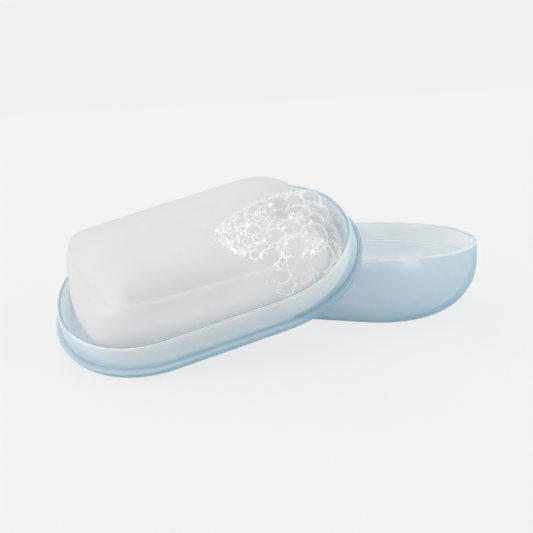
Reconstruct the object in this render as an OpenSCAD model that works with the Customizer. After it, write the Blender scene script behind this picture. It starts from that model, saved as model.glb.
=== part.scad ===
// Travel soap box: two moulded halves that plug into each other, shown open.
// The deep half lies mouth up, the shallow half leans on its rim and holds a bar of soap.
// Millimetres, +Z up, origin at the middle of the deep half's base, +X along its length.

/* [Box] */
// Length of both halves
box_l = 110; // [96:1:130]
// Width of both halves, and the diameter of their round ends
box_w = 73.6; // [70:0.2:80]

/* [Deep half] */
// Height from the base to the rim
deep_h = 27.7; // [24:0.1:36]
// Radius of the round between the base and the wall
deep_round = 19.7; // [8:0.1:21]
// Wall and base below the inner ledge
deep_wall = 2; // [1.8:0.1:2.6]
// Wall of the rim above the inner ledge
rim_wall = 1.5; // [1:0.1:1.7]
// Depth of the ledge below the rim
ledge_depth = 7.9; // [7.8:0.1:10]

/* [Shallow half] */
// Height of the rounded band between the underside and the step
band_h = 4.1; // [3.6:0.1:6]
// Thickness of the floor
floor_wall = 1.6; // [1.2:0.1:2.2]
// Radius of the round between the floor and the inner wall
floor_round = 2.6; // [1:0.1:4]
// Height of the collar above the step
collar_h = 7.7; // [5:0.1:7.7]
// How much the collar leans in from its foot to its lip
collar_lean = 1.45; // [0.6:0.05:1.8]
// Wall of the collar at its lip
lip_wall = 1.1; // [0.9:0.1:1.4]
// Gap between the collar's foot and the rim when the box is shut
plug_gap = 0.38; // [0.1:0.02:0.5]

/* [Both rims] */
// Radius of the rounded edges on both rims
edge_round = 0.4; // [0.2:0.05:0.45]

/* [Resting place of the shallow half] */
// Angle that the shallow half leans at
lean = 28.5; // [24:0.1:32]
// Turn of the shallow half in its own plane
spin = 31.7; // [20:0.1:40]
// Shift of the shallow half along the deep half's rim
rim_shift = -31.7; // [-34:0.1:-20]
// Gap left at the rim and at the table
rest_gap = 0.1; // [0.1:0.05:0.4]

/* [Soap] */
// Height of the pressed line round the bar
crease_h = 20; // [16:0.1:24]
// Height of the widest girth
girth_h = 6.7; // [4:0.1:10]
// Rise of the top face in its middle
crown = 3.4; // [0.5:0.1:4]
// How far the girth curves in to the foot, as a share of the bar
foot_draw = 0.06; // [0.03:0.01:0.12]
// Gap under the bar
seat_gap = 0.2; // [0.1:0.02:0.5]

/* [Lather] */
// Radius of the smallest bubbles, at the patch's tip
bubble_min = 1.7; // [1.4:0.1:2.5]
// Radius of the largest bubbles, at the bar's right end
bubble_max = 4.3; // [3.5:0.1:5]
// Distance between bubbles as a share of their radius
bubble_pitch = 1.2; // [1.1:0.05:1.3]
// Gap between the lather and the collar
lather_gap = 0.5; // [0.3:0.05:1]

/* [Hidden] */
$fn = 96;

half_w = box_w / 2;
run = box_l - box_w;
collar_foot = rim_wall + plug_gap;
mouth_inset = collar_foot + collar_lean + lip_wall;
mouth_l = box_l / 2 - mouth_inset;
mouth_w = half_w - mouth_inset;
floor_z = floor_wall - band_h;

// Corners of the used bar, seen from above: front left, front right, back right, back left.
// They are shares of the mouth's half length and half width, and radii and bows are shares of its half width.
crease_corners = at_mouth([[-0.625, -0.704], [0.708, -0.868], [0.662, 0.729], [-0.876, 0.775]]);
crease_radii = mouth_w * [0.111, 0.309, 0.432, 0.185];
girth_corners = at_mouth([[-0.813, -0.766], [0.789, -0.939], [0.825, 0.809], [-0.975, 0.763]]);
girth_radii = mouth_w * [0.352, 0.494, 0.494, 0.516];
side_bows = mouth_w * [0.068, 0.031, 0.006, 0.043];
arc_steps = 6;
side_steps = 5;
side_levels = 6;
foot_levels = 4;
top_scales = [0.15, 0.4, 0.6, 0.75, 0.87, 0.95];
crown_power = 2;

// Lowest point of the shallow half below its own origin, once it leans.
down = [-sin(lean) * sin(spin), -sin(lean) * cos(spin)];
reach_down = run / 2 * abs(down.x) + (half_w - band_h) * norm(down) + band_h;
// Edge of the deep half's rim that the underside rests on.
rim_point = [0, -(half_w - edge_round), deep_h];
tray_normal = [0, -sin(lean), cos(lean)];
uphill = [0, cos(lean), sin(lean)];
over_rim = rim_point + (band_h + rest_gap) * tray_normal;
climb = (reach_down + rest_gap - over_rim.z) / sin(lean);
tray_place = over_rim + climb * uphill + [rim_shift, 0, 0];

// Sweeps a half section, drawn from the axis outwards, round the rounded-end outline.
module round_ended() {
    for (side = [0, 1]) mirror([side, 0, 0])
        translate([run / 2, 0, 0]) rotate([0, 0, -90]) rotate_extrude(angle = 180) children();
    rotate([90, 0, 90]) linear_extrude(run, center = true)
        for (side = [0, 1]) mirror([side, 0]) children();
}

// Half section of a bowl whose lower corner is a quarter circle, moved in by inset on every side.
module bowl_half(inset, corner, top) {
    r = corner - inset;
    translate([0, inset]) square([half_w - corner, top - inset]);
    if (top > corner) translate([half_w - corner, corner]) square([r, top - corner]);
    translate([half_w - corner, corner]) intersection() {
        circle(r);
        translate([0, -r]) square(r);
    }
}

// Top of a wall whose two edges are rounded.
module rounded_lip(outer, wall, top) {
    for (x = [outer - edge_round, outer - wall + edge_round])
        translate([x, top - edge_round]) circle(edge_round);
    translate([outer - wall + edge_round, top - edge_round]) square([wall - 2 * edge_round, edge_round]);
}

module deep_section() {
    difference() {
        bowl_half(0, deep_round, deep_h - edge_round);
        bowl_half(deep_wall, deep_round, deep_h + 1);
        intersection() {
            bowl_half(rim_wall, deep_round, deep_h + 1);
            translate([0, deep_h - ledge_depth]) square([half_w, ledge_depth + 1]);
        }
    }
    rounded_lip(half_w, rim_wall, deep_h);
}

module deep_half() {
    color([0.70, 0.82, 0.88]) round_ended() deep_section();
}

// Half section of the shallow half, with y = 0 at the step that closes on the deep half's rim.
module shallow_section() {
    lip_in = half_w - mouth_inset;
    foot = half_w - collar_foot;
    lip_top = collar_h - edge_round;
    lip_out = foot - collar_lean * lip_top / collar_h;
    difference() {
        union() {
            translate([0, -band_h]) bowl_half(0, band_h, band_h);
            polygon([[0, -band_h / 2], [foot, -band_h / 2], [foot, 0], [lip_out, lip_top], [0, lip_top]]);
        }
        translate([0, floor_z]) square([lip_in - floor_round, band_h + collar_h]);
        translate([0, floor_z + floor_round]) square([lip_in, band_h + collar_h]);
        translate([lip_in - floor_round, floor_z + floor_round]) circle(floor_round);
    }
    rounded_lip(lip_out, lip_out - lip_in, collar_h);
}

module at_tray() {
    translate(tray_place) rotate([lean, 0, 0]) rotate([0, 0, spin]) children();
}

module shallow_half() {
    color([0.70, 0.82, 0.88]) at_tray() round_ended() shallow_section();
}

function unit(v) = v / norm(v);
function mix(a, b, t) = a * (1 - t) + b * t;
function at_mouth(shares) = [for (p = shares) [p.x * mouth_l, p.y * mouth_w]];

// Points of one rounded corner of an outline, from the side before it to the side after it.
function corner_arc(before, p, after, r) =
    let (u = unit(p - before), v = unit(after - p), turn = acos(u * v),
         start = p - u * r * tan(turn / 2), inward = [-u.y, u.x], centre = start + inward * r)
    [for (i = [0:arc_steps]) let (a = atan2(-inward.y, -inward.x) + turn * i / arc_steps)
        centre + r * [cos(a), sin(a)]];

// Points along a side between two rounded corners, bowed outwards in the middle.
function side_points(a, b, bow) =
    let (u = unit(b - a), outward = [u.y, -u.x])
    [for (i = [1:side_steps]) let (t = i / (side_steps + 1)) mix(a, b, t) + outward * bow * 4 * t * (1 - t)];

// Closed outline of the bar through four rounded corners.
function bar_outline(corners, radii) =
    let (arcs = [for (i = [0:3])
        corner_arc(corners[(i + 3) % 4], corners[i], corners[(i + 1) % 4], radii[i])])
    [for (i = [0:3])
        each concat(arcs[i], side_points(arcs[i][arc_steps], arcs[(i + 1) % 4][0], side_bows[i]))];

crease_outline = bar_outline(crease_corners, crease_radii);
girth_outline = bar_outline(girth_corners, girth_radii);
function middle_of(corners) = (corners[0] + corners[1] + corners[2] + corners[3]) / 4;
crease_middle = middle_of(crease_corners);
girth_middle = middle_of(girth_corners);

// A ring of 3-D points between the crease and the girth: t is 0 at the crease and 1 at the girth.
function side_ring(t) =
    [for (i = [0:len(crease_outline) - 1])
        let (p = mix(crease_outline[i], girth_outline[i], sin(90 * t)))
        [p.x, p.y, girth_h + (crease_h - girth_h) * cos(90 * t)]];

function foot_ring(t) =
    [for (p = girth_outline)
        let (q = mix(p, girth_middle, foot_draw * (1 - cos(90 * t)))) [q.x, q.y, girth_h * (1 - sin(90 * t))]];

function top_ring(s) =
    [for (p = crease_outline)
        let (q = mix(crease_middle, p, s)) [q.x, q.y, crease_h + crown * (1 - pow(s, crown_power))]];

// Solid through stacked rings of equal length, closed by a point above and a point below.
module lofted(rings, top, bottom) {
    n = len(rings[0]);
    last = len(rings) * n;
    polyhedron(
        points = concat([for (r = rings) each r], [top, bottom]),
        faces = concat(
            [for (k = [0:len(rings) - 2], i = [0:n - 1]) let (j = (i + 1) % n)
                each [[k * n + i, k * n + j, (k + 1) * n + j], [k * n + i, (k + 1) * n + j, (k + 1) * n + i]]],
            [for (i = [0:n - 1]) [last, (i + 1) % n, i]],
            [for (i = [0:n - 1]) [last + 1, last - n + i, last - n + (i + 1) % n]]));
}

module bar() {
    rings = concat(
        [for (s = top_scales) top_ring(s)],
        [for (k = [0:side_levels]) side_ring(k / side_levels)],
        [for (k = [1:foot_levels]) foot_ring(k / foot_levels)]);
    translate([0, 0, floor_z + seat_gap])
        lofted(rings, [each crease_middle, crease_h + crown], [each girth_middle, 0]);
}

module soap_bar() {
    color([0.93, 0.93, 0.92]) at_tray() bar();
}

// Bubbles sit on the bar's right end: over the top, down the front and down the end.
patch_tip = [0.125 * mouth_l, -0.293 * mouth_w];
patch_length = 0.593 * mouth_l;
patch_columns = 9;
back_reach = 0.5 * mouth_w;
front_reach = 0.76 * mouth_w;
front_end = -0.8 * mouth_w;
sink = 0.35;
jitter = 0.12;

// Share of the patch's length that a point lies behind its tip, and the patch's two edges there.
function along(x) = max(0, (x - patch_tip.x) / patch_length);
function column_x(k) = patch_tip.x + patch_length * (0.07 * k + 0.0053 * k * k);
function patch_back(x) = patch_tip.y + back_reach * sqrt(along(x) + 0.02);
function patch_front(x) = max(front_end, patch_tip.y - front_reach * sqrt(along(x) + 0.01));
function bubble_r(x) = mix(bubble_min, bubble_max, min(1, along(x)));
function varied(r, seed) = r * (1 + 0.15 * sin(137 * seed));

// Height of the bar's top face over a point.
function top_z(x, y) =
    let (across = abs(x - crease_middle.x) / crease_corners[1].x,
         back = abs(y - crease_middle.y) / crease_corners[3].y, s = min(1, max(across, back)))
    crease_h + crown * (1 - pow(s, crown_power));

// Each bubble is its middle, measured from under the bar, and its radius.
top_bubbles = [for (k = [0:patch_columns]) let (x = column_x(k), r = bubble_r(x))
    for (y = [patch_front(x):bubble_pitch * r:patch_back(x)])
        [x + jitter * r * sin(97 * y), y + jitter * r * cos(71 * y + 50 * k),
         top_z(x, y) - sink * r, varied(r, y + k)]];
front_bubbles = [for (u = [0.41, 0.48, 0.55], v = [0.18:0.185:0.95])
    [u * mouth_l, (0.055 * v - 0.91) * mouth_w, v * crease_h, varied(0.65 * bubble_max, 50 * u + 20 * v)]];
// The end's bubbles sit in the bar's own side, from its front right corner backwards.
end_bubbles = [for (t = [0.3, 0.65, 1], i = [12, 14, 16, 18, 19, 20, 21, 22, 23])
    let (p = side_ring(t)[i], r = min(1, 0.21 * (27 - i)) * bubble_max)
    [p.x - sink * r / 2, p.y, p.z - sink * r / 2, varied(r, i + 3 * t)]];

// Space that the lather may fill: inside the mouth up to the lip, and everything above it.
module mouth_clear() {
    r = half_w - mouth_inset - lather_gap;
    translate([0, 0, floor_z + lather_gap]) linear_extrude(2 * crease_h) {
        for (side = [-1, 1]) translate([side * run / 2, 0]) circle(r);
        square([run, 2 * r], center = true);
    }
    translate([-box_l / 2, -half_w, collar_h + lather_gap]) cube([box_l, box_w, 2 * crease_h]);
}

module lather() {
    color([0.96, 0.97, 0.98]) at_tray() difference() {
        intersection() {
            mouth_clear();
            union() for (b = concat(top_bubbles, front_bubbles, end_bubbles))
                translate([b[0], b[1], b[2] + floor_z + seat_gap]) sphere(b[3], $fn = 16);
        }
        bar();
        translate([0, 0, floor_z]) cylinder(h = floor_round, r = box_l, $fn = 32);
    }
}

deep_half();
shallow_half();
soap_bar();
lather();
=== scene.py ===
"""Travel soap box, lying open: two frosted halves, a used bar of soap and its lather."""

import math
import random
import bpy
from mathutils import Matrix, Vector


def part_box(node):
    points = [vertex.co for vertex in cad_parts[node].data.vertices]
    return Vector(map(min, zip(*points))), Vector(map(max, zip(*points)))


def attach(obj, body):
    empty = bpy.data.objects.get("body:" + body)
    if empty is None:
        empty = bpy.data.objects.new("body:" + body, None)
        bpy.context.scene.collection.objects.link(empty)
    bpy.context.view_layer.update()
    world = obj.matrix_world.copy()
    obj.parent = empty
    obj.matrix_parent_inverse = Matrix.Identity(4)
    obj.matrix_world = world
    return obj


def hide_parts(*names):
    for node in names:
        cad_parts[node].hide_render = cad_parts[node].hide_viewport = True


bl_info = {
    "name": "Travel soap box",
    "version": (1, 0, 0),
    "blender": (4, 5, 0),
    "location": "3D View > Sidebar > Soap box",
    "description": "Builds a two-part travel soap box with a used bar and lather",
    "category": "Add Mesh",
}

import bmesh
import bpy
import numpy as np
from bpy.props import FloatProperty, IntProperty, PointerProperty, StringProperty
from mathutils import Matrix, Vector
from mathutils.bvhtree import BVHTree

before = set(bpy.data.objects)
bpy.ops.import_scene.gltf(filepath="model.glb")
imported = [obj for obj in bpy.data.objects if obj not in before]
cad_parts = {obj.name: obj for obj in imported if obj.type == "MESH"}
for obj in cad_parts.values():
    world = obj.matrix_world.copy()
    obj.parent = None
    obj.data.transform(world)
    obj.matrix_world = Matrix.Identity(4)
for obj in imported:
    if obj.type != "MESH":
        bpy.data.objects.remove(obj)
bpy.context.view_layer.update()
DEEP_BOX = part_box("deep_half")
MM = 0.001


def size(name, description, default, low, high):
    """A length in metres that a user may change."""
    return FloatProperty(name=name, description=description, default=default, min=low, max=high,
                         subtype="DISTANCE", unit="LENGTH", precision=5)


def mm_size(name, description, default):
    """A short length, given in millimetres, that may go down to a third and up to three times."""
    return size(name, description, default * MM, default * MM / 3, default * MM * 3)


def angle(name, description, degrees):
    """An angle, given in degrees."""
    return FloatProperty(name=name, description=description, default=math.radians(degrees),
                         subtype="ANGLE")


def number(name, description, default):
    """A plain number that is never below zero."""
    return FloatProperty(name=name, description=description, default=default, min=0.0)


def hex_colour(name, description, default):
    """A colour, as an sRGB hex value."""
    return StringProperty(name=name, description=description, default=default)


class BoxSizes(bpy.types.PropertyGroup):
    """Sizes of the two moulded halves."""
    length: size("Length", "Length of both halves", DEEP_BOX[1].x - DEEP_BOX[0].x, 0.08, 0.16)
    width: size("Width", "Width of both halves", DEEP_BOX[1].y - DEEP_BOX[0].y, 0.05, 0.12)
    deep_height: size("Deep height", "Base to rim of the deep half", DEEP_BOX[1].z, 0.02, 0.06)
    deep_round: mm_size("Deep round", "Radius between the base and the wall", 19.7)
    deep_wall: mm_size("Deep wall", "Wall below the inner ledge", 2.0)
    rim_wall: mm_size("Rim wall", "Wall above the inner ledge", 1.5)
    ledge_depth: mm_size("Ledge depth", "Depth of the ledge below the rim", 7.9)
    band_height: mm_size("Band height", "Rounded band of the shallow half", 4.1)
    floor_wall: mm_size("Floor", "Floor of the shallow half", 1.6)
    floor_round: mm_size("Floor round", "Radius between that floor and its wall", 2.6)
    collar_height: mm_size("Collar height", "Height of the collar above the step", 7.7)
    collar_lean: mm_size("Collar lean", "How far the collar leans in", 1.45)
    collar_inset: mm_size("Collar inset", "Width of the step round the collar", 1.88)
    lip_wall: mm_size("Lip wall", "Wall of the collar at its lip", 1.1)
    edge_round: mm_size("Edge round", "Radius of both rims' edges", 0.4)
    lean: angle("Lean", "Angle the shallow half leans at", 28.5)
    spin: angle("Spin", "Turn of the shallow half in its plane", 31.7)
    rim_shift: size("Rim shift", "Place of the shallow half along the rim", -0.0317, -0.06, 0.06)
    rest_gap: mm_size("Rest gap", "Gap at the rim and the table", 0.1)


class SoapSizes(bpy.types.PropertyGroup):
    """Sizes of the used bar."""
    crease_height: mm_size("Crease height", "Height of the pressed line", 20.0)
    girth_height: mm_size("Girth height", "Height of the widest girth", 6.7)
    crown: mm_size("Crown", "Rise of the top in its middle", 3.4)
    foot_draw: number("Foot draw", "Share that the foot curves in by", 0.06)
    seat_gap: mm_size("Seat gap", "Gap under the bar", 0.2)
    crease_bead: mm_size("Crease bead", "Height of the pressed line's bead", 0.12)


class LatherSizes(bpy.types.PropertyGroup):
    """Sizes of the bubbles."""
    smallest: mm_size("Smallest bubble", "Radius of the smallest bubbles", 0.55)
    largest: mm_size("Largest bubble", "Radius of the largest bubbles", 4.6)
    film: mm_size("Wall line", "Width of the white line where two bubbles meet", 0.36)
    grain: mm_size("Grain", "Edge length of the lather's mesh", 0.3)
    seed: IntProperty(name="Seed", description="Another number gives another lather", default=7)


class Finishes(bpy.types.PropertyGroup):
    """Colours, as sRGB hex values."""
    plastic: hex_colour("Plastic", "Thin frosted wall", "#FAF9F8")
    plastic_deep: hex_colour("Thick plastic", "Edges and thick places", "#6AA3BB")
    soap: hex_colour("Soap", "Bar of soap", "#ECECEC")
    # Painted shade: a darker soap colour for a strip along the front's pressed line, where the top turns
    # down to the front.
    soap_painted_shade: hex_colour("Soap shade", "Painted shade on a strip of the bar", "#D4D4D4")
    lather: hex_colour("Lather", "Bubble walls", "#FAFBFC")
    backdrop: hex_colour("Backdrop", "Floor and background", "#F1F1F1")


class StageSizes(bpy.types.PropertyGroup):
    """Camera and lights."""
    azimuth: angle("Azimuth", "Camera's turn round the box", 20.24)
    elevation: angle("Elevation", "Camera's height angle", 13.38)
    roll: angle("Roll", "Camera's roll", 2.89)
    distance: size("Distance", "Camera to the point it aims at", 0.2818, 0.1, 1.0)
    lens: number("Lens", "Focal length on a 36 mm sensor, in mm", 47.3)
    world_strength: number("World", "Strength of the light from all round", 0.59)
    window_strength: number("Window", "Strength of the light from the left", 0.85)
    fill_strength: number("Fill", "Strength of the light from the front", 0.6)
    side_strength: number("Side", "Strength of the light from the right", 0.85)
    top_strength: number("Top", "Strength of the light from above", 0.45)
    glint_power: number("Glint", "Power of the small lamp that gives highlights, in watts", 14.0)
    glint_size: size("Glint size", "Side of that lamp", 0.15, 0.05, 0.5)


GROUPS = {"soapbox_box": BoxSizes, "soapbox_soap": SoapSizes, "soapbox_lather": LatherSizes,
          "soapbox_finish": Finishes, "soapbox_stage": StageSizes}


# Materials

def linear(code):
    """A linear RGBA colour from an sRGB hex value."""
    parts = [int(code[i:i + 2], 16) / 255 for i in (1, 3, 5)]
    return [p / 12.92 if p <= 0.04045 else ((p + 0.055) / 1.055) ** 2.4 for p in parts] + [1.0]


def empty_material(name):
    material = bpy.data.materials.new(name)
    material.use_nodes = True
    material.node_tree.nodes.clear()
    return material


def add(tree, kind, links=None, values=None, **settings):
    """Adds a node: settings are its own, values go to its sockets, links join sockets to it."""
    made = tree.nodes.new("ShaderNode" + kind)
    for key, value in settings.items():
        setattr(made, key, value)
    for key, value in (values or {}).items():
        made.inputs[key].default_value = value
    for key, source in (links or {}).items():
        tree.links.new(source, made.inputs[key])
    return made


def frosted_polypropylene(finish):
    """Injection-moulded polypropylene with a finely spark-eroded surface.

    It gives a milky, pale blue wall that light soaks through, bluer where it is thick or seen along its
    edge and partly as painted shade low on the deep half, with soft wide highlights and a faint painted
    glow.
    """
    material = empty_material("frosted_polypropylene")
    tree = material.node_tree
    edge = add(tree, "Attribute", attribute_name="edge")
    place = add(tree, "TexCoord")
    # Faint flow clouding of the melt, about 12 mm across.
    cloud = add(tree, "TexNoise", {"Vector": place.outputs["Object"]}, {"Scale": 80.0, "Detail": 2.0})
    tint = add(tree, "MapRange", {"Value": cloud.outputs["Fac"]},
               {"From Min": 0.3, "From Max": 0.7, "To Min": -0.03, "To Max": 0.03})
    depth = add(tree, "Math", {0: edge.outputs["Fac"], 1: tint.outputs["Result"]}, operation="ADD",
                use_clamp=True)
    colour = add(tree, "Mix", {"Factor": depth.outputs[0]}, data_type="RGBA")
    colour.inputs["A"].default_value = linear(finish.plastic)
    colour.inputs["B"].default_value = linear(finish.plastic_deep)
    # Spark-eroded grain of about 0.4 mm, coarser than real so that it shows.
    grain = add(tree, "TexNoise", {"Vector": place.outputs["Object"]}, {"Scale": 2500.0, "Detail": 3.0})
    bump = add(tree, "Bump", {"Height": grain.outputs["Fac"]}, {"Strength": 0.12, "Distance": 0.0001})
    # The wall glows a little in its own colour everywhere: painted light that stands in for light bouncing
    # round inside the box.
    wall = add(tree, "BsdfPrincipled",
               {"Base Color": colour.outputs["Result"], "Emission Color": colour.outputs["Result"],
                "Normal": bump.outputs["Normal"]},
               {"Roughness": 0.42, "IOR": 1.49, "Specular IOR Level": 0.4, "Subsurface Weight": 1.0,
                "Subsurface Scale": 0.003, "Subsurface Radius": (0.8, 1.0, 1.2),
                "Emission Strength": 0.18})
    # A thin wall seen square on is partly clear, and milky when seen at a slant or where it is thick.
    glance = add(tree, "LayerWeight", values={"Blend": 0.4})
    milky = add(tree, "MapRange", {"Value": glance.outputs["Facing"]},
                {"From Min": 0.0, "From Max": 0.95, "To Min": 0.22, "To Max": 0.88})
    thick = add(tree, "Math", {0: edge.outputs["Fac"]}, {1: 0.3}, operation="SUBTRACT")
    milky = add(tree, "Math", {0: milky.outputs["Result"], 1: thick.outputs[0]}, operation="MAXIMUM")
    clear = add(tree, "BsdfTransparent", values={"Color": linear(finish.plastic)})
    both = add(tree, "MixShader", {0: milky.outputs[0], 1: clear.outputs[0], 2: wall.outputs[0]})
    add(tree, "OutputMaterial", {"Surface": both.outputs[0]})
    return material


def milled_soap(finish):
    """Milled white toilet soap, worn smooth and still wet, with a strip of painted shade along its front's
    pressed line.

    Light goes a few millimetres in, so the form is soft, and the wet skin gives a wide dim sheen.
    """
    marble_shade = 0.94
    material = empty_material("milled_white_soap")
    tree = material.node_tree
    place = add(tree, "TexCoord")
    # Faint milling marbling, about 15 mm across.
    marble = add(tree, "TexNoise", {"Vector": place.outputs["Object"]},
                 {"Scale": 70.0, "Detail": 2.0, "Distortion": 0.6})
    colour = add(tree, "Mix", {"Factor": marble.outputs["Fac"]}, data_type="RGBA")
    colour.inputs["A"].default_value = linear(finish.soap)
    colour.inputs["B"].default_value = [marble_shade * c for c in linear(finish.soap)[:3]] + [1.0]
    # A strip on both sides of the front's pressed line is darker: painted shade where the top turns down to
    # the front.
    damp = add(tree, "Attribute", attribute_name="damp")
    colour = add(tree, "Mix", {"Factor": damp.outputs["Fac"], "A": colour.outputs["Result"]},
                 data_type="RGBA")
    colour.inputs["B"].default_value = linear(finish.soap_painted_shade)
    # Worn hollows of about 5 mm and a fine skin of 0.5 mm.
    wear = add(tree, "TexNoise", {"Vector": place.outputs["Object"]}, {"Scale": 190.0, "Detail": 4.0})
    bump = add(tree, "Bump", {"Height": wear.outputs["Fac"]}, {"Strength": 0.25, "Distance": 0.0004})
    skin = add(tree, "BsdfPrincipled",
               {"Base Color": colour.outputs["Result"], "Normal": bump.outputs["Normal"]},
               {"Roughness": 0.62, "IOR": 1.45, "Subsurface Weight": 0.35, "Subsurface Scale": 0.002,
                "Subsurface Radius": (1.0, 0.9, 0.8), "Specular IOR Level": 0.12})
    add(tree, "OutputMaterial", {"Surface": skin.outputs[0]})
    return material


def wet_lather(name, finish, clearness, froth, slant, shade):
    """Soap film stretched over air: nearly clear in each cell, white where walls meet.

    Clearness is how much shows through a film seen square on, froth is how much fine lather lies on it,
    slant is how white it turns where it is seen at a slant, and shade is the grey that one film lets
    through, partly the film's own loss and partly painted shade for the shadow inside the lather.
    """
    material = empty_material(name)
    tree = material.node_tree
    place = add(tree, "TexCoord")
    wall = add(tree, "Attribute", attribute_name="wall")
    # Walls are thicker in some places than in others, over about 4 mm.
    uneven = add(tree, "TexNoise", {"Vector": place.outputs["Object"]}, {"Scale": 260.0, "Detail": 2.0})
    share = add(tree, "MapRange", {"Value": uneven.outputs["Fac"]},
                {"From Min": 0.35, "From Max": 0.62, "To Min": 0.25, "To Max": 1.0})
    wall = add(tree, "Math", {0: wall.outputs["Fac"], 1: share.outputs["Result"]}, operation="MULTIPLY")
    # Fine froth with cells of about 1.2 mm, in drifts about 7 mm wide.
    cells = add(tree, "TexVoronoi", {"Vector": place.outputs["Object"]}, {"Scale": 850.0},
                feature="DISTANCE_TO_EDGE")
    lines = add(tree, "MapRange", {"Value": cells.outputs["Distance"]},
                {"From Min": 0.02, "From Max": 0.16, "To Min": 1.0, "To Max": 0.0})
    drift = add(tree, "TexNoise", {"Vector": place.outputs["Object"]}, {"Scale": 150.0, "Detail": 1.0})
    where = add(tree, "MapRange", {"Value": drift.outputs["Fac"]},
                {"From Min": 0.48, "From Max": 0.62, "To Min": 0.0, "To Max": froth})
    fine = add(tree, "Math", {0: lines.outputs["Result"], 1: where.outputs["Result"]}, operation="MULTIPLY")
    glance = add(tree, "LayerWeight", values={"Blend": 0.25})
    cover = add(tree, "MapRange", {"Value": glance.outputs["Facing"]},
                {"From Min": 0.15, "From Max": 1.0, "To Min": 1.0 - clearness, "To Max": slant})
    solid = add(tree, "Math", {0: cover.outputs["Result"], 1: wall.outputs[0]}, operation="MAXIMUM")
    solid = add(tree, "Math", {0: solid.outputs[0], 1: fine.outputs[0]}, operation="MAXIMUM")
    # Each film greys what lies behind it: partly its own loss, partly painted shade inside the lather.
    clear = add(tree, "BsdfTransparent", values={"Color": (shade, shade, shade, 1.0)})
    white = linear(finish.lather)
    # The film glows a little in white everywhere: painted light that stands in for light scattered round
    # inside the lather.
    film = add(tree, "BsdfPrincipled", values={
        "Base Color": white, "Roughness": 0.15, "IOR": 1.33, "Coat Weight": 0.6, "Coat Roughness": 0.04,
        "Emission Color": white, "Emission Strength": 0.22})
    body = add(tree, "MixShader", {0: solid.outputs[0], 1: clear.outputs[0], 2: film.outputs[0]})
    add(tree, "OutputMaterial", {"Surface": body.outputs[0]})
    return material


# Geometry helpers, in millimetres until a mesh is made

# Points along the halves' large rounds, band, floor round, rim edges and ledge.
ROUND_STEPS, BAND_STEPS, FLOOR_STEPS, EDGE_STEPS, LEDGE_STEPS = 28, 14, 10, 5, 3


def arc(x, z, radius, start, end, steps):
    """Points on an arc; the angles are in degrees from +X."""
    angles = [math.radians(start + (end - start) * i / steps) for i in range(steps + 1)]
    return [(x + radius * math.cos(a), z + radius * math.sin(a)) for a in angles]


def mesh_piece(name, vertices, faces, place, body, material, replaced=None):
    """A smooth mesh that rides on a body; vertices are in millimetres and place is their matrix."""
    data = bpy.data.meshes.new(name)
    data.from_pydata([place @ (Vector(v) * MM) for v in vertices], [], faces)
    data.update()
    made = bpy.data.objects.new(name, data)
    bpy.context.collection.objects.link(made)
    work = bmesh.new()
    work.from_mesh(data)
    bmesh.ops.recalc_face_normals(work, faces=work.faces)
    work.to_mesh(data)
    work.free()
    data.shade_smooth()
    data.materials.append(material)
    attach(made, body)
    if replaced:
        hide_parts(replaced)
    return made


def in_mm(group, *names):
    """The group's settings of these names, in millimetres."""
    return [getattr(group, name) / MM for name in names]


def point_values(made, name, values):
    """Stores one number for each vertex, for the material to read by that name."""
    made.data.attributes.new(name, "FLOAT", "POINT").data.foreach_set("value", values)


def round_ended_rings(profile, run, steps=72, run_steps=6):
    """Sweeps a half profile of (x, z, tint) round the rounded-end outline, whose straight length is run."""
    outline = []
    for side in (1, -1):
        outline += [(side * run / 2, math.radians(-90 * side + 180 * i / steps))
                    for i in range(steps + 1)]
        outline += [(side * run * (0.5 - k / run_steps), math.radians(90 * side))
                    for k in range(1, run_steps)]
    return [[(x + p[0] * math.cos(a), p[0] * math.sin(a), p[1]) for x, a in outline] for p in profile]


def ring_faces(rows, count, capped=True):
    """Faces between rows of count points each, with one face over each end where it is capped."""
    faces = []
    for r in range(rows - 1):
        for i in range(count):
            j = (i + 1) % count
            faces.append((r * count + i, (r + 1) * count + i, (r + 1) * count + j, r * count + j))
    if capped:
        faces.append(tuple(range(count)))
        faces.append(tuple(range((rows - 1) * count, rows * count)))
    return faces


def moulded_shell(name, profile, run, place, body, material):
    """A moulded half from its closed half profile, whose tints the material reads as "edge"."""
    rings = round_ended_rings(profile, run)
    count = len(rings[0])
    shell = mesh_piece(name, [v for ring in rings for v in ring], ring_faces(len(rings), count), place,
                       body, material, body)
    point_values(shell, "edge", [p[2] for p in profile for _ in range(count)])
    shell.modifiers.new("even_normals", "WEIGHTED_NORMAL")
    return shell


def tinted(points, tint):
    """The same points, each with this tint."""
    return [(x, z, tint) for x, z in points]


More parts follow.
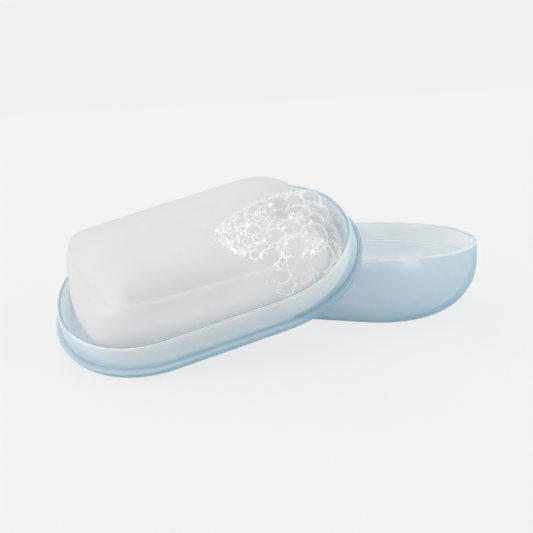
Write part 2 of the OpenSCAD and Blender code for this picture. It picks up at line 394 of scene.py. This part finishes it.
def deep_profile(box):
    """Half profile of the deep half: under the base, up outside, over the rim, down inside.

    Each point is (x, z, tint), and the tint is the thick plastic's share of the colour there; outside it
    grows towards the base, partly as painted shade.
    """
    half, round_r, height, wall, rim, ledge_depth, edge = in_mm(
        box, "width", "deep_round", "deep_height", "deep_wall", "rim_wall", "ledge_depth", "edge_round")
    half = half / 2
    ledge = height - ledge_depth
    ledge_round = 0.18
    # Extra rings at these distances in millimetres keep the shading crisp beside the round edges.
    outer_rings, inner_ring, ledge_ring = (1.6, 0.9), 0.8, 0.6
    base_tint, shade_and_thickness_fall, rim_tint, rim_inner_tint = 0.92, 0.22, 0.3, 0.6
    upper_tint, step_tint, ledge_tint, lower_tint = 0.03, 0.4, 0.2, 0.02
    outside = arc(half - round_r, round_r, round_r, -90, 0, ROUND_STEPS)
    outside += [(half, height - d) for d in outer_rings]
    # Outside, the blue grows towards the base: partly a thicker look, partly painted shade near the table.
    points = [(x, z, base_tint - shade_and_thickness_fall * z / height) for x, z in outside]
    points += tinted(arc(half - edge, height - edge, edge, 0, 90, EDGE_STEPS), rim_tint)
    points += tinted(arc(half - rim + edge, height - edge, edge, 90, 180, EDGE_STEPS), rim_inner_tint)
    points += tinted([(half - rim, height - inner_ring), (half - rim, ledge + ledge_ring)], upper_tint)
    points += [(half - rim, ledge + ledge_round, step_tint)]
    ledge_arc = arc(half - wall + ledge_round, ledge - ledge_round, ledge_round, 90, 180, LEDGE_STEPS)
    points += tinted(ledge_arc, ledge_tint)
    points += [(half - wall, ledge - inner_ring, lower_tint)]
    points += tinted(arc(half - round_r, round_r, round_r - wall, 0, -90, ROUND_STEPS)[1:], 0.0)
    return points


def shallow_profile(box):
    """Half profile of the shallow half: round the band, over the step, up the collar, down inside.

    Each point is (x, z, tint), and z is 0 on the step, which is the closing face.
    """
    half, band, floor, floor_r, collar, lean, inset, lip, edge = in_mm(
        box, "width", "band_height", "floor_wall", "floor_round", "collar_height", "collar_lean",
        "collar_inset", "lip_wall", "edge_round")
    half = half / 2
    foot = half - inset
    lip_top = collar - edge
    lip_out = foot - lean * lip_top / collar
    lip_in = half - inset - lean - lip
    floor_z = floor - band
    # The band is palest at this share of its height below the step, and bluer above and below that.
    pale_share, band_tint, band_tint_rise = 0.35, 0.8, 0.3
    points = [(x, z, band_tint + band_tint_rise * abs(pale_share + z / band))
              for x, z in arc(half - band, 0, band, -90, -6, BAND_STEPS)]
    # The step: its outer corner is broken by 0.1 to 0.3 mm, and its inner corner is the bluest place.
    corner = 0.2
    points += [(half - 0.08, -0.1, 0.45), (half - 0.3, 0.0, 0.5), (foot + corner, 0.0, 0.7)]
    points += [(foot + 0.04, 0.04, 0.95), (foot - lean * corner / collar, corner, 0.6)]
    # The collar leans in and grows paler from a ring near its foot to one at 0.88 of its height.
    low_ring, high_share = 0.8, 0.88
    points += [(foot - lean * low_ring / collar, low_ring, 0.46)]
    points += [(foot - lean * high_share, collar * high_share, 0.34)]
    lip_tint, lip_inner_tint, wall_tint, floor_tint = 0.1, 0.95, 0.15, 0.1
    corner_ring = 0.5
    points += tinted(arc(lip_out - edge, lip_top, edge, 0, 90, EDGE_STEPS), lip_tint)
    points += tinted(arc(lip_in + edge, lip_top, edge, 90, 180, EDGE_STEPS), lip_inner_tint)
    points += tinted([(lip_in, lip_top - corner_ring), (lip_in, floor_z + floor_r)], wall_tint)
    points += tinted(arc(lip_in - floor_r, floor_z + floor_r, floor_r, 0, -90, FLOOR_STEPS)[1:], floor_tint)
    return points


def tray_place(box):
    """Matrix that lays the shallow half on the deep half's rim and the table."""
    half, run, band = box.width / 2, box.length - box.width, box.band_height
    across = math.sin(box.lean) * math.sin(box.spin)
    along = math.sin(box.lean) * math.cos(box.spin)
    reach_down = run / 2 * across + (half - band) * math.hypot(across, along) + band
    normal = Vector((0, -math.sin(box.lean), math.cos(box.lean)))
    uphill = Vector((0, math.cos(box.lean), math.sin(box.lean)))
    over_rim = Vector((0, box.edge_round - half, box.deep_height)) + (band + box.rest_gap) * normal
    climb = (reach_down + box.rest_gap - over_rim.z) / math.sin(box.lean)
    place = over_rim + climb * uphill + Vector((box.rim_shift, 0, 0))
    return Matrix.Translation(place) @ Matrix.Rotation(box.lean, 4, "X") @ Matrix.Rotation(box.spin, 4, "Z")


# The bar of soap

# Corners of the used bar, seen from above in millimetres: front left, front right, back right, back left.
CREASE_CORNERS = [(-31.6, -22.8), (35.8, -28.1), (33.5, 23.6), (-44.3, 25.1)]
CREASE_RADII = [3.6, 10, 14, 6]
GIRTH_CORNERS = [(-41.1, -24.8), (39.9, -30.4), (41.7, 26.2), (-49.3, 24.7)]
GIRTH_RADII = [11.4, 16, 16, 16.7]
# How far the front, right, back and left side bow outwards in their middle.
SIDE_BOWS = [2.2, 1, 0.2, 1.4]
ARC_STEPS = 12
SIDE_STEPS = 20
# The top is flatter in its middle and falls more steeply to its edge with a higher power.
CROWN_POWER = 4
# Rings of the top and, as quarter turns from the pressed line to the girth, of the line's bead.
TOP_SHARES = (0.05, 0.12, 0.2, 0.3, 0.4, 0.5, 0.6, 0.7, 0.78, 0.85, 0.9, 0.94, 0.97, 0.99)
BEAD_TURNS = ((0.0, 1.0), (0.02, 1.0), (0.04, 0.0))
FIRST_SIDE_TURN = 0.06
SIDE_RINGS = 16
FOOT_RINGS = 8
# The worn hollow behind the sharp front left corner: middle, spreads and depth, in millimetres.
HOLLOW_MIDDLE = (-21, -19)
HOLLOW_SPREADS = (11, 4.5)
HOLLOW_DEPTH = 0.45
# The pressed line's wander beside that corner: height, spread in points and turn for each point.
WAVE_HEIGHT = 0.12
WAVE_SPREAD = 9
WAVE_TURN = 0.9


def mix(a, b, t):
    """The value between a and b at share t."""
    return a * (1 - t) + b * t


def clamped(value):
    """The value, held between 0 and 1."""
    return max(0.0, min(1.0, value))


def bar_outline(corners, radii):
    """Closed outline through four rounded corners, each side bowed outwards by a parabola."""
    corners = [Vector(c) for c in corners]
    arcs = []
    for i in range(4):
        u = (corners[i] - corners[i - 1]).normalized()
        v = (corners[(i + 1) % 4] - corners[i]).normalized()
        turn = math.acos(u.dot(v))
        inward = Vector((-u.y, u.x))
        centre = corners[i] - u * radii[i] * math.tan(turn / 2) + inward * radii[i]
        first = math.atan2(-inward.y, -inward.x)
        arcs.append([centre + radii[i] * Vector((math.cos(first + turn * k / ARC_STEPS),
                                                 math.sin(first + turn * k / ARC_STEPS)))
                     for k in range(ARC_STEPS + 1)])
    points = []
    for i in range(4):
        start, end = arcs[i][-1], arcs[(i + 1) % 4][0]
        u = (end - start).normalized()
        outward = Vector((u.y, -u.x))
        shares = [k / (SIDE_STEPS + 1) for k in range(1, SIDE_STEPS + 1)]
        side = [mix(start, end, t) + outward * SIDE_BOWS[i] * 4 * t * (1 - t) for t in shares]
        points += arcs[i] + side
    return points


def bar_rings(box, soap):
    """Rings of the bar from the middle of its top to its foot, and its two end points."""
    crease_h, girth_h, crown, gap, bead = in_mm(
        soap, "crease_height", "girth_height", "crown", "seat_gap", "crease_bead")
    base = (box.floor_wall - box.band_height) / MM + gap
    crease = bar_outline(CREASE_CORNERS, CREASE_RADII)
    girth = bar_outline(GIRTH_CORNERS, GIRTH_RADII)
    middle = sum((Vector(c) for c in CREASE_CORNERS), Vector((0, 0))) / 4
    low_middle = sum((Vector(c) for c in GIRTH_CORNERS), Vector((0, 0))) / 4

    def hollow(p):
        """The top is worn down behind the sharp front left corner."""
        across = (p.x - HOLLOW_MIDDLE[0]) / HOLLOW_SPREADS[0]
        back = (p.y - HOLLOW_MIDDLE[1]) / HOLLOW_SPREADS[1]
        return HOLLOW_DEPTH * math.exp(-across ** 2 - back ** 2)

    def crease_wave(i):
        """The pressed line wanders near the sharp front left corner."""
        return WAVE_HEIGHT * math.exp(-((i - ARC_STEPS) / WAVE_SPREAD) ** 2) * math.sin(i * WAVE_TURN)

    def crease_lift(i):
        """The line stands up along the front only, and fades over a few points at both ends."""
        first, last = 0.2 * ARC_STEPS, 2 * ARC_STEPS + SIDE_STEPS
        rise, fall = 3, 6
        return bead * clamped(min((i - first) / rise, (last - i) / fall))

    def side_ring(turn, lifts):
        """A ring on the side, a share of a quarter turn below the pressed line."""
        a = turn * math.pi / 2
        level = base + girth_h + (crease_h - girth_h) * math.cos(a)
        return [(*mix(upper, lower, math.sin(a)), level + lift)
                for upper, lower, lift in zip(crease, girth, lifts)]

    rings = []
    count = len(crease)
    for s in TOP_SHARES:
        points = [mix(middle, p, s) for p in crease]
        rings.append([(*p, base + crease_h + crown * (1 - s ** CROWN_POWER) - hollow(p)) for p in points])
    for turn, share in BEAD_TURNS:
        rings.append(side_ring(turn, [share * crease_lift(i) + crease_wave(i) for i in range(count)]))
    for k in range(1, SIDE_RINGS + 1):
        rings.append(side_ring(FIRST_SIDE_TURN + (1 - FIRST_SIDE_TURN) * k / SIDE_RINGS, [0.0] * count))
    for k in range(1, FOOT_RINGS + 1):
        a = math.radians(90 * k / FOOT_RINGS)
        draw = soap.foot_draw * (1 - math.cos(a))
        rings.append([(*mix(p, low_middle, draw), base + girth_h * (1 - math.sin(a))) for p in girth])
    return rings, (*middle, base + crease_h + crown), (*low_middle, base)


def painted_shade_share(p):
    """How much painted shade the bar has at a point: a strip on both sides of the front's pressed line,
    less on the line.
    """
    # Along the front the strip starts late, fades in quickly and fades out towards the lather.
    fade_in, late, fade_out = 0.08, 0.3, 1.6
    # It fades to the back and downwards over these millimetres, and the line itself gets half the painted
    # shade.
    fade_back, fade_down, line_y, line_z, below_share, line_share = 9.5, 6, 0.5, 17.2, 0.6, 0.5
    (left_x, left_y), (right_x, right_y) = CREASE_CORNERS[:2]
    along = (p[0] - left_x) / (right_x - left_x)
    if along < 0 or p[1] > 0:
        return 0.0
    behind = p[1] - mix(left_y, right_y, along) + SIDE_BOWS[0] * 4 * along * (1 - along)
    share = clamped(along / fade_in - late) * clamped(fade_out * (1 - along))
    if behind > line_y:
        return share * math.exp(-(behind / fade_back) ** 2)
    if p[2] < line_z:
        return below_share * share * max(0.0, 1 - (line_z - p[2]) / fade_down)
    return line_share * share


def bar_mesh(box, soap):
    """The bar's vertices in the tray's own millimetres, and its faces."""
    rings, top, foot = bar_rings(box, soap)
    count = len(rings[0])
    vertices = [v for ring in rings for v in ring] + [top, foot]
    faces = ring_faces(len(rings), count, capped=False)
    last = len(rings) * count
    faces += [(last, i, (i + 1) % count) for i in range(count)]
    faces += [(last + 1, last - count + (i + 1) % count, last - count + i) for i in range(count)]
    return vertices, faces


# Lather

# Points tried all over the bar for the middle of a bubble.
BAR_SAMPLES = 40000
# Large clear domes over the smaller bubbles: middle above the bar's foot, and radius, in millimetres.
CLEAR_DOMES = [((27.6, -2.6, 12.2), 11.4), ((39.5, -11.0, 12.5), 9.0), ((18.5, -8.5, 17.5), 5.6)]
# The patch on the bar's top: its tip, its length, and how far it opens to the back and to the front.
PATCH_TIP = (5.6, -9.4)
PATCH_LENGTH = 30.0
BACK_OPENING = 17.5
BACK_CLOSING = 0.12
FRONT_OPENING = 27.0
# Above this height a point counts as the top, and in front of this y as the front.
TOP_FROM = 14
FRONT_FROM = -20
# The front's patch starts at this x and slants, and the right end's stops at this y.
FRONT_START = 17.5
FRONT_SLANT = 0.15
END_STOP = 2.5
# Largest radii allowed: at the tip, growing along the patch; at its border, growing inwards; anywhere.
TIP_RADIUS, TIP_GROWTH, BORDER_RADIUS, BORDER_GROWTH, TOP_RADIUS = 0.55, 5.6, 0.6, 0.8, 5.2


def patch_limit(p):
    """Largest bubble radius allowed at a point of the bar, in millimetres; 0 is outside the patch."""
    x, y, z = p
    along = (x - PATCH_TIP[0]) / PATCH_LENGTH
    if along <= 0:
        return 0.0
    back = PATCH_TIP[1] + BACK_OPENING * math.sqrt(along) * (1 - BACK_CLOSING * along)
    front = PATCH_TIP[1] - FRONT_OPENING * math.sqrt(along)
    if z > TOP_FROM:
        inwards = min(back - y, y - front)
    elif y < FRONT_FROM:
        inwards = x - FRONT_START - FRONT_SLANT * (TOP_FROM - z)
    else:
        inwards = END_STOP - y
    if inwards <= 0:
        return 0.0
    return min(TIP_RADIUS + TIP_GROWTH * along, BORDER_RADIUS + BORDER_GROWTH * inwards, TOP_RADIUS)


def bar_samples(vertices, faces, rng, count):
    """Points spread over the faces of the bar that lie in the patch, with their normals."""
    corners = [[Vector(vertices[i]) for i in face[:3]] for face in faces]
    areas = []
    for face, (a, b, c) in zip(faces, corners):
        area = (b - a).cross(c - a).length
        areas.append(area if len(face) == 4 else area / 2)
    total = sum(areas)
    found = []
    for face, (a, b, c), area in zip(faces, corners, areas):
        if patch_limit(a) <= 0 and patch_limit(c) <= 0:
            continue
        share = area / total * count
        for _ in range(int(share) + (rng.random() < share % 1)):
            u, v = rng.random(), rng.random()
            if len(face) == 4:
                point = a + (b - a) * u + (Vector(vertices[face[3]]) - a) * v
            else:
                if u + v > 1:
                    u, v = 1 - u, 1 - v
                point = a + (b - a) * u + (c - b) * v * u
            found.append((point, (b - a).cross(c - a).normalized()))
    return found


def pack_bubbles(samples, lather, rng):
    """Seeded packing from the largest bubbles down: each is (centre, radius) in millimetres."""
    # Radii vary by a tenth, each round takes smaller ones, and two bubbles overlap by up to a third.
    spread, step, overlap = 0.1, 0.84, 0.68
    # On the top bubbles sit with part of their radius in the bar, and low on its right end a little off it.
    sunk, lifted, top_z, end_x = 0.35, 0.1, 17, 33
    smallest, largest = in_mm(lather, "smallest", "largest")
    allowed = [(p, n, patch_limit(p)) for p, n in samples]
    allowed = [entry for entry in allowed if entry[2] > 0]
    rng.shuffle(allowed)
    centres = np.empty((0, 3))
    radii = np.empty(0)
    target = largest
    while target > smallest:
        for p, n, limit in allowed:
            if limit < target:
                continue
            r = target * (1 - spread + 2 * spread * rng.random())
            depth = sunk if p.z > top_z or p.x < end_x else -lifted
            spot = np.array(p - n * depth * r)
            if len(radii) and (np.linalg.norm(centres - spot, axis=1) < overlap * (radii + r)).any():
                continue
            centres = np.vstack([centres, spot])
            radii = np.append(radii, r)
        target *= step
    return centres, radii


def joined_spheres(centres, radii):
    """One mesh with a sphere for each bubble, copied from one template."""
    work = bmesh.new()
    bmesh.ops.create_icosphere(work, subdivisions=3, radius=MM)
    template = np.array([v.co for v in work.verts])
    corners = np.array([[v.index for v in f.verts] for f in work.faces])
    work.free()
    points = (centres[:, None] * MM + radii[:, None, None] * template[None]).reshape(-1, 3)
    triangles = (corners[None] + (np.arange(len(radii)) * len(template))[:, None, None]).reshape(-1, 3)
    data = bpy.data.meshes.new("bubbles")
    data.from_pydata(points, [], triangles)
    return data


def remeshed(data, grain):
    """One outer skin round overlapping spheres."""
    rough = bpy.data.objects.new("bubbles", data)
    bpy.context.collection.objects.link(rough)
    voxel = rough.modifiers.new("skin", "REMESH")
    voxel.mode = "VOXEL"
    voxel.voxel_size = grain
    skin = bpy.data.meshes.new_from_object(rough.evaluated_get(bpy.context.evaluated_depsgraph_get()))
    bpy.data.objects.remove(rough)
    return skin


def nearest_two(points, centres, radii):
    """For each point the bubble whose skin it lies on, and how far it is from the next one."""
    batch = 20000
    owner = np.empty(len(points), int)
    apart = np.empty(len(points))
    for start in range(0, len(points), batch):
        part = points[start:start + batch]
        depth = np.linalg.norm(part[:, None] - centres[None], axis=2) - radii[None]
        order = np.argpartition(depth, 1, axis=1)[:, :2]
        pair = np.take_along_axis(depth, order, axis=1)
        first = np.argmin(pair, axis=1)
        rows = np.arange(len(part))
        owner[start:start + batch] = order[rows, first]
        apart[start:start + batch] = np.abs(pair[:, 0] - pair[:, 1])
    return owner, apart


def kept_in_tray(points, box):
    """Moves low points clear of the collar's inside and of the floor; points are in millimetres."""
    clearance, floor_gap, lip_gap = 0.4, 1.0, 0.5
    mouth = (box.width / 2 - box.collar_inset - box.collar_lean - box.lip_wall) / MM - clearance
    half_run = (box.length - box.width) / 2 / MM
    floor = (box.floor_wall - box.band_height) / MM + floor_gap
    low = points[:, 2] < box.collar_height / MM + lip_gap
    end = np.clip(points[:, 0], -half_run, half_run)
    spread = np.hypot(points[:, 0] - end, points[:, 1])
    shrink = np.where(low & (spread > mouth), mouth / spread, 1.0)
    points[:, 0] = end + (points[:, 0] - end) * shrink
    points[:, 1] *= shrink
    points[:, 2] = np.maximum(points[:, 2], floor)
    return points


def foam_piece(name, centres, radii, box, lather, bar_tree, place, material, replaced=None):
    """Skin over the bubbles with crisp walls, cut off inside the bar and kept clear of the tray."""
    line_power, bury_depth = 0.8, 0.05
    film, grain = in_mm(lather, "film", "grain")
    skin = remeshed(joined_spheres(centres, radii), grain * MM)
    points = np.empty(len(skin.vertices) * 3)
    skin.vertices.foreach_get("co", points)
    points = points.reshape(-1, 3) / MM
    owner, apart = nearest_two(points, centres, radii)
    away = points - centres[owner]
    away /= np.linalg.norm(away, axis=1)[:, None]
    points = kept_in_tray(centres[owner] + away * radii[owner][:, None], box)
    wall = np.clip(1 - apart / film, 0, 1) ** line_power
    buried = np.empty(len(points), bool)
    for i, p in enumerate(points):
        spot, normal, _, _ = bar_tree.find_nearest(Vector(p))
        buried[i] = (Vector(p) - spot).dot(normal) < -bury_depth
    faces = [tuple(f.vertices) for f in skin.polygons if not all(buried[v] for v in f.vertices)]
    used = sorted({v for f in faces for v in f})
    renumber = {old: new for new, old in enumerate(used)}
    faces = [tuple(renumber[v] for v in f) for f in faces]
    foam = mesh_piece(name, points[used], faces, place, "soap", material, replaced)
    point_values(foam, "wall", wall[used])
    return foam


# Stage

# Side of the board, in metres.
BOARD_SIZE = 60
# Where the small lamp stands and what the camera looks at, in metres.
GLINT_PLACE = (-0.32, -0.35, 0.5)
AIM = (-0.02549, -0.00940, 0.017365)
# The camera's sensor in millimetres, and how near to it in metres a thing still shows.
SENSOR_WIDTH = 36
NEAR_CLIP = 0.01
# Wide soft lights: name, its strength's setting, spread in degrees, and the way towards it.
SUNS = (("window", "window_strength", 50, Vector((-0.72, -0.65, 0.2)).normalized()),
        ("fill", "fill_strength", 60, Vector((0.4, -0.88, 0.1)).normalized()),
        ("side", "side_strength", 60, Vector((0.95, -0.05, 0.1)).normalized()),
        ("top", "top_strength", 40, Vector((-0.5, 0.5, 0.7)).normalized()))


def pale_floor(stage, finish):
    """A matt painted board, big enough to reach the horizon."""
    material = empty_material("painted_board")
    tree = material.node_tree
    place = add(tree, "TexCoord")
    # Roller texture, drawn at 3 mm, that only just shows.
    roller = add(tree, "TexNoise", {"Vector": place.outputs["Object"]}, {"Scale": 330.0, "Detail": 2.0})
    bump = add(tree, "Bump", {"Height": roller.outputs["Fac"]}, {"Strength": 0.02, "Distance": 0.0005})
    paint = add(tree, "BsdfDiffuse", {"Normal": bump.outputs["Normal"]}, {"Color": linear(finish.backdrop)})
    # The camera sees most of the board at the backdrop's own colour, so shadows on it stay faint.
    # The lamps and world light an empty board to less than its own colour, which the plain share makes up.
    share = 0.8
    from_lamps = sum(getattr(stage, key) * towards.z for _, key, _, towards in SUNS) / math.pi
    lit = stage.world_strength + from_lamps
    plain = add(tree, "Emission", values={
        "Color": linear(finish.backdrop), "Strength": (1 - lit * (1 - share)) / share})
    path = add(tree, "LightPath")
    seen = add(tree, "Math", {0: path.outputs["Is Camera Ray"]}, {1: share}, operation="MULTIPLY")
    surface = add(tree, "MixShader", {0: seen.outputs[0], 1: paint.outputs[0], 2: plain.outputs[0]})
    add(tree, "OutputMaterial", {"Surface": surface.outputs[0]})
    bpy.ops.mesh.primitive_plane_add(size=BOARD_SIZE)
    board = bpy.context.object
    board.name = "board"
    board.data.materials.append(material)


def soft_world(scene, stage, finish):
    """Even light from all round; the camera and reflections see the backdrop's colour."""
    world = bpy.data.worlds.new("studio")
    scene.world = world
    world.use_nodes = True
    tree = world.node_tree
    tree.nodes.clear()
    path = add(tree, "LightPath")
    seen = add(tree, "Math", {0: path.outputs["Is Camera Ray"], 1: path.outputs["Is Transmission Ray"]},
               operation="MAXIMUM")
    seen = add(tree, "Math", {0: seen.outputs[0], 1: path.outputs["Is Glossy Ray"]}, operation="MAXIMUM")
    light = add(tree, "Background", values={"Color": (1, 1, 1, 1), "Strength": stage.world_strength})
    back = add(tree, "Background", values={"Color": linear(finish.backdrop), "Strength": 1.0})
    both = add(tree, "MixShader", {0: seen.outputs[0], 1: light.outputs[0], 2: back.outputs[0]})
    add(tree, "OutputWorld", {"Surface": both.outputs[0]})


def soft_lamps(stage):
    """A window to the left, fills in front and to the right, one light above, and one small lamp.

    The small lamp gives highlights only, so it adds nothing to matt or clear surfaces.
    """
    for name, key, spread, towards in SUNS:
        lamp = bpy.data.lights.new(name, "SUN")
        lamp.energy = getattr(stage, key)
        lamp.angle = math.radians(spread)
        holder = bpy.data.objects.new(name, lamp)
        bpy.context.collection.objects.link(holder)
        holder.rotation_euler = towards.to_track_quat("Z", "Y").to_euler()
    glint = bpy.data.lights.new("glint", "AREA")
    glint.energy = stage.glint_power
    glint.size = stage.glint_size
    holder = bpy.data.objects.new("glint", glint)
    bpy.context.collection.objects.link(holder)
    holder.location = GLINT_PLACE
    holder.rotation_euler = holder.location.to_track_quat("Z", "Y").to_euler()
    holder.visible_diffuse = False
    holder.visible_transmission = False


def photo_camera(scene, stage):
    """The camera looks at the tray's middle; its roll is that of the photograph."""
    a, e = stage.azimuth, stage.elevation
    forward = Vector((-math.sin(a) * math.cos(e), math.cos(a) * math.cos(e), -math.sin(e)))
    level = Vector((math.cos(a), math.sin(a), 0))
    up = level.cross(forward)
    right = level * math.cos(stage.roll) - up * math.sin(stage.roll)
    up = level * math.sin(stage.roll) + up * math.cos(stage.roll)
    data = bpy.data.cameras.new("camera")
    data.sensor_width = SENSOR_WIDTH
    data.lens = stage.lens
    data.clip_start = NEAR_CLIP
    camera = bpy.data.objects.new("camera", data)
    bpy.context.collection.objects.link(camera)
    camera.matrix_world = Matrix.Translation(Vector(AIM) - forward * stage.distance) @ Matrix(
        (right, up, -forward)).transposed().to_4x4()
    scene.camera = camera


# Operators

class SOAPBOX_OT_halves(bpy.types.Operator):
    """Build the two moulded halves of the box"""
    bl_idname = "soapbox.halves"
    bl_label = "Halves"

    def execute(self, context):
        scene = context.scene
        box = scene.soapbox_box
        run = (box.length - box.width) / MM
        plastic = frosted_polypropylene(scene.soapbox_finish)
        moulded_shell("deep_shell", deep_profile(box), run, Matrix(), "deep_half", plastic)
        moulded_shell("shallow_shell", shallow_profile(box), run, tray_place(box), "shallow_half", plastic)
        return {"FINISHED"}


class SOAPBOX_OT_bar(bpy.types.Operator):
    """Build the used bar of soap"""
    bl_idname = "soapbox.bar"
    bl_label = "Bar of soap"

    def execute(self, context):
        scene = context.scene
        vertices, faces = bar_mesh(scene.soapbox_box, scene.soapbox_soap)
        bar = mesh_piece("worn_bar", vertices, faces, tray_place(scene.soapbox_box), "soap",
                         milled_soap(scene.soapbox_finish), "soap_bar")
        # The soap's material reads these values as painted shade along the front's pressed line.
        point_values(bar, "damp", [painted_shade_share(v) for v in vertices])
        return {"FINISHED"}


class SOAPBOX_OT_lather(bpy.types.Operator):
    """Build the lather on the bar's right end"""
    bl_idname = "soapbox.lather"
    bl_label = "Lather"

    def execute(self, context):
        scene = context.scene
        box, lather, finish = scene.soapbox_box, scene.soapbox_lather, scene.soapbox_finish
        rng = random.Random(lather.seed)
        vertices, faces = bar_mesh(box, scene.soapbox_soap)
        tree = BVHTree.FromPolygons([Vector(v) for v in vertices], faces)
        centres, radii = pack_bubbles(bar_samples(vertices, faces, rng, BAR_SAMPLES), lather, rng)
        place = tray_place(box)
        foam = wet_lather("soap_film", finish, clearness=0.88, froth=0.55, slant=0.8, shade=0.94)
        foam_piece("lather_foam", centres, radii, box, lather, tree, place, foam, "lather")
        foot = Vector((0, 0, (box.floor_wall - box.band_height + scene.soapbox_soap.seat_gap) / MM))
        centres = np.array([Vector(middle) + foot for middle, _ in CLEAR_DOMES])
        radii = np.array([radius for _, radius in CLEAR_DOMES])
        clear = wet_lather("clear_soap_film", finish, clearness=0.98, froth=0.1, slant=0.5, shade=0.92)
        foam_piece("lather_domes", centres, radii, box, lather, tree, place, clear)
        return {"FINISHED"}


class SOAPBOX_OT_stage(bpy.types.Operator):
    """Lay the pale floor and set the light and the camera"""
    bl_idname = "soapbox.stage"
    bl_label = "Stage"

    def execute(self, context):
        scene = context.scene
        stage, finish = scene.soapbox_stage, scene.soapbox_finish
        pale_floor(stage, finish)
        soft_world(scene, stage, finish)
        soft_lamps(stage)
        photo_camera(scene, stage)
        scene.view_settings.view_transform = "Standard"
        return {"FINISHED"}


# Panel

class SOAPBOX_PT_panel(bpy.types.Panel):
    """Soap box sizes and builders"""
    bl_label = "Soap box"
    bl_idname = "SOAPBOX_PT_panel"
    bl_space_type = "VIEW_3D"
    bl_region_type = "UI"
    bl_category = "Soap box"

    def draw(self, context):
        for group in GROUPS:
            settings = getattr(context.scene, group)
            column = self.layout.box().column()
            for key in settings.bl_rna.properties.keys():
                if key not in ("rna_type", "name"):
                    column.prop(settings, key)
        for operator in OPERATORS:
            self.layout.operator(operator.bl_idname)


OPERATORS = (SOAPBOX_OT_halves, SOAPBOX_OT_bar, SOAPBOX_OT_lather, SOAPBOX_OT_stage)


def register():
    for name, group in GROUPS.items():
        bpy.utils.register_class(group)
        setattr(bpy.types.Scene, name, PointerProperty(type=group))
    for operator in OPERATORS:
        bpy.utils.register_class(operator)
    bpy.utils.register_class(SOAPBOX_PT_panel)


def unregister():
    bpy.utils.unregister_class(SOAPBOX_PT_panel)
    for operator in reversed(OPERATORS):
        bpy.utils.unregister_class(operator)
    for name, group in reversed(GROUPS.items()):
        delattr(bpy.types.Scene, name)
        bpy.utils.unregister_class(group)


def main():
    register()
    bpy.ops.soapbox.stage()
    bpy.ops.soapbox.halves()
    bpy.ops.soapbox.bar()
    bpy.ops.soapbox.lather()


if __name__ == "__main__":
    main()
